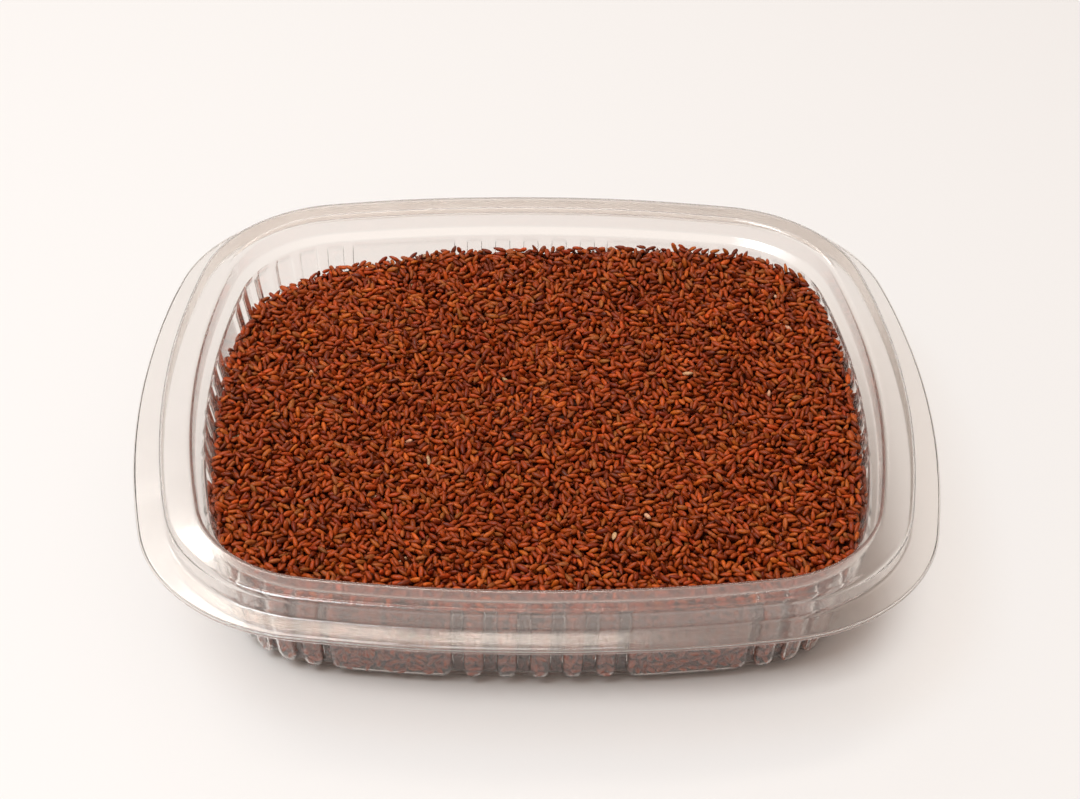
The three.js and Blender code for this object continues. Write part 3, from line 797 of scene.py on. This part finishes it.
def seed_material(name, rough, tone):
    """Smooth seed coat: the seed's own tint, mottled, with painted shade darkening the furrow, and darker at the narrow
    end.
    """
    m, N, L = material(name)
    out = N.new("ShaderNodeOutputMaterial")
    p = N.new("ShaderNodeBsdfPrincipled")
    L.new(p.outputs[0], out.inputs[0])
    tint = N.new("ShaderNodeAttribute")
    tint.attribute_name = "tint"
    at = N.new("ShaderNodeAttribute")
    at.attribute_name = "at"
    coord = N.new("ShaderNodeTexCoord")
    noise = N.new("ShaderNodeTexNoise")
    noise.inputs["Scale"].default_value = 2600.0
    noise.inputs["Detail"].default_value = 3.0
    noise.inputs["Roughness"].default_value = 0.6
    L.new(coord.outputs["Object"], noise.inputs["Vector"])
    ramp = N.new("ShaderNodeMapRange")
    ramp.inputs["From Min"].default_value, ramp.inputs["From Max"].default_value = 0.3, 0.7
    ramp.inputs["To Min"].default_value, ramp.inputs["To Max"].default_value = 0.62, 1.3
    L.new(noise.outputs["Fac"], ramp.inputs["Value"])
    sep = N.new("ShaderNodeSeparateXYZ")
    L.new(at.outputs["Vector"], sep.inputs[0])
    # narrow end
    end = N.new("ShaderNodeMapRange")
    end.interpolation_type = "SMOOTHSTEP"
    end.inputs["From Min"].default_value, end.inputs["From Max"].default_value = 0.35, 1.0
    end.inputs["To Min"].default_value, end.inputs["To Max"].default_value = 1.0, 0.5
    L.new(sep.outputs["X"], end.inputs["Value"])
    # furrow: painted shade in the crease
    ab = N.new("ShaderNodeMath")
    ab.operation = "ABSOLUTE"
    L.new(sep.outputs["Y"], ab.inputs[0])
    fur = N.new("ShaderNodeMapRange")
    fur.interpolation_type = "SMOOTHSTEP"
    fur.inputs["From Min"].default_value, fur.inputs["From Max"].default_value = 0.0, 0.28
    fur.inputs["To Min"].default_value, fur.inputs["To Max"].default_value = 0.72, 1.0
    L.new(ab.outputs[0], fur.inputs["Value"])
    m1 = N.new("ShaderNodeMath")
    m1.operation = "MULTIPLY"
    L.new(ramp.outputs["Result"], m1.inputs[0])
    L.new(end.outputs["Result"], m1.inputs[1])
    m2 = N.new("ShaderNodeMath")
    m2.operation = "MULTIPLY"
    L.new(m1.outputs[0], m2.inputs[0])
    L.new(fur.outputs["Result"], m2.inputs[1])
    sc = N.new("ShaderNodeVectorMath")
    sc.operation = "SCALE"
    L.new(tint.outputs["Color"], sc.inputs[0])
    L.new(m2.outputs[0], sc.inputs["Scale"])
    L.new(sc.outputs[0], p.inputs["Base Color"])
    rr = N.new("ShaderNodeMapRange")
    rr.inputs["To Min"].default_value, rr.inputs["To Max"].default_value = rough - 0.08, rough + 0.12
    L.new(noise.outputs["Fac"], rr.inputs["Value"])
    L.new(rr.outputs["Result"], p.inputs["Roughness"])
    fine = N.new("ShaderNodeTexNoise")
    fine.inputs["Scale"].default_value = 9000.0
    fine.inputs["Detail"].default_value = 2.0
    L.new(coord.outputs["Object"], fine.inputs["Vector"])
    bump = N.new("ShaderNodeBump")
    bump.inputs["Strength"].default_value = 0.25
    bump.inputs["Distance"].default_value = 0.00003
    L.new(fine.outputs["Fac"], bump.inputs["Height"])
    L.new(bump.outputs[0], p.inputs["Normal"])
    p.inputs["Specular IOR Level"].default_value = 0.26
    return m


def core_material():
    """The heap's inside, seen only in the gaps between the loose seeds: seeds in deep shade."""
    m, N, L = material("seed_core")
    out = N.new("ShaderNodeOutputMaterial")
    p = N.new("ShaderNodeBsdfPrincipled")
    L.new(p.outputs[0], out.inputs[0])
    coord = N.new("ShaderNodeTexCoord")
    vor = N.new("ShaderNodeTexVoronoi")
    vor.inputs["Scale"].default_value = 620.0
    L.new(coord.outputs["Object"], vor.inputs["Vector"])
    # painted shade: darker toward the edges of each seed-sized cell, as in the gaps between seeds
    ramp = N.new("ShaderNodeValToRGB")
    ramp.color_ramp.elements[0].color = (0.085, 0.013, 0.003, 1)
    ramp.color_ramp.elements[1].color = (0.022, 0.0035, 0.001, 1)
    ramp.color_ramp.elements[0].position = 0.15
    ramp.color_ramp.elements[1].position = 0.75
    L.new(vor.outputs["Distance"], ramp.inputs["Fac"])
    # painted: where it faces the sheet it is paler, a greyed brown standing for the sheet's haze over shaded seeds; in
    # the gaps at the top it stays dark as painted shade
    geo = N.new("ShaderNodeNewGeometry")
    up = N.new("ShaderNodeSeparateXYZ")
    L.new(geo.outputs["True Normal"], up.inputs[0])
    side = N.new("ShaderNodeMapRange")
    side.inputs["From Min"].default_value, side.inputs["From Max"].default_value = 0.35, 0.75
    side.inputs["To Min"].default_value, side.inputs["To Max"].default_value = 1.0, 0.0
    level = N.new("ShaderNodeMath")
    level.operation = "ABSOLUTE"
    L.new(up.outputs["Z"], level.inputs[0])
    L.new(level.outputs[0], side.inputs["Value"])
    both = N.new("ShaderNodeMix")
    both.data_type = "RGBA"
    # and dark down in the foot, where no light comes
    where = N.new("ShaderNodeSeparateXYZ")
    L.new(geo.outputs["Position"], where.inputs[0])
    low = N.new("ShaderNodeMapRange")
    low.inputs["From Min"].default_value, low.inputs["From Max"].default_value = 0.0029, 0.0037
    L.new(where.outputs["Z"], low.inputs["Value"])
    share = N.new("ShaderNodeMath")
    share.operation = "MULTIPLY"
    L.new(side.outputs["Result"], share.inputs[0])
    L.new(low.outputs["Result"], share.inputs[1])
    L.new(share.outputs[0], both.inputs["Factor"])
    L.new(ramp.outputs["Color"], both.inputs["A"])
    both.inputs["B"].default_value = (0.098, 0.042, 0.030, 1)
    L.new(both.outputs["Result"], p.inputs["Base Color"])
    p.inputs["Roughness"].default_value = 0.75
    p.inputs["Specular IOR Level"].default_value = 0.05
    bump = N.new("ShaderNodeBump")
    bump.invert = True
    bump.inputs["Strength"].default_value = 0.9
    bump.inputs["Distance"].default_value = 0.0004
    L.new(vor.outputs["Distance"], bump.inputs["Height"])
    L.new(bump.outputs[0], p.inputs["Normal"])
    return m


pieces, maps = build_seeds()
looks = {k: seed_material("seed_" + k, r, 1.0) for k, r in (("russet", 0.42), ("dark", 0.40), ("orange", 0.44), ("tan", 0.48), ("pale", 0.5))}
for ob in pieces:
    ob.data.materials.append(looks[ob.name.split("_")[1]])
core = build_core(maps)
core.data.materials.append(core_material())
for ob in pieces + [core]:
    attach(ob, "root")
    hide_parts("seeds")

# floor and light
me = bpy.data.meshes.new("floor")
me.from_pydata([(-3, -3, 0), (3, -3, 0), (3, 3, 0), (-3, 3, 0)], [], [(0, 1, 2, 3)])
floor = bpy.data.objects.new("floor", me)
bpy.context.scene.collection.objects.link(floor)
m, N, L = material("floor")
out = N.new("ShaderNodeOutputMaterial")
p = N.new("ShaderNodeBsdfPrincipled")
p.inputs["Base Color"].default_value = (0.86, 0.85, 0.84, 1)
p.inputs["Roughness"].default_value = 0.6
L.new(p.outputs[0], out.inputs[0])
floor.data.materials.append(m)

world = bpy.data.worlds.new("world")
bpy.context.scene.world = world
world.use_nodes = True
WN, WL = world.node_tree.nodes, world.node_tree.links
back = WN["Background"]
coord = WN.new("ShaderNodeTexCoord")
sky = WN.new("ShaderNodeSeparateXYZ")
WL.new(coord.outputs["Generated"], sky.inputs[0])


def world_math(op, a, b, clamp=False):
    n = WN.new("ShaderNodeMath")
    n.operation = op
    n.use_clamp = clamp
    for k, v in enumerate((a, b)):
        if isinstance(v, float):
            n.inputs[k].default_value = v
        else:
            WL.new(v, n.inputs[k])
    return n.outputs[0]


# a soft ceiling, brighter to the left, over a pale room
height = world_math("MAXIMUM", sky.outputs["Z"], 0.0)
ceiling = world_math("MULTIPLY", world_math("POWER", height, 3.0), world_math("ADD", world_math("MULTIPLY", sky.outputs["Y"], -0.30), 1.18))
left = world_math("MAXIMUM", world_math("MULTIPLY", world_math("MULTIPLY", sky.outputs["X"], height), -0.42), 0.0)
haze = world_math("MULTIPLY", world_math("POWER", world_math("SUBTRACT", 1.0, height), 2.0), 0.5)
WL.new(world_math("ADD", world_math("ADD", ceiling, left), haze), back.inputs["Strength"])
back.inputs["Color"].default_value = (1.0, 0.86, 0.775, 1)


def area(name, loc, target, size, radiance, color=(1, 1, 1)):
    li = bpy.data.lights.new(name, "AREA")
    li.shape = "RECTANGLE"
    li.size, li.size_y = size
    li.energy = radiance * math.pi * size[0] * size[1]
    li.color = color
    ob = bpy.data.objects.new(name, li)
    bpy.context.scene.collection.objects.link(ob)
    ob.location = loc
    d = Vector(target) - Vector(loc)
    ob.rotation_euler = d.to_track_quat("-Z", "Y").to_euler()
    return ob


def place(az, el, dist):
    """A point at an azimuth from +Y towards +X, an elevation and a distance."""
    a, e = math.radians(az), math.radians(el)
    return (dist * math.cos(e) * math.sin(a), dist * math.cos(e) * math.cos(a), dist * math.sin(e))


area("window", place(-16.0, 45.6, 2.0), (0, 0, 0), (1.14, 0.14), 8.6, (1.0, 0.95, 0.89))
area("key", (-0.58, -0.24, 1.43), (0, 0, 0), (0.7, 0.7), 9.6, (0.885, 0.97, 1.02))
cyc = bpy.context.scene.cycles
cyc.max_bounces, cyc.transmission_bounces, cyc.glossy_bounces, cyc.diffuse_bounces, cyc.transparent_max_bounces = 20, 16, 6, 5, 16
bpy.context.scene.view_settings.view_transform = "Standard"
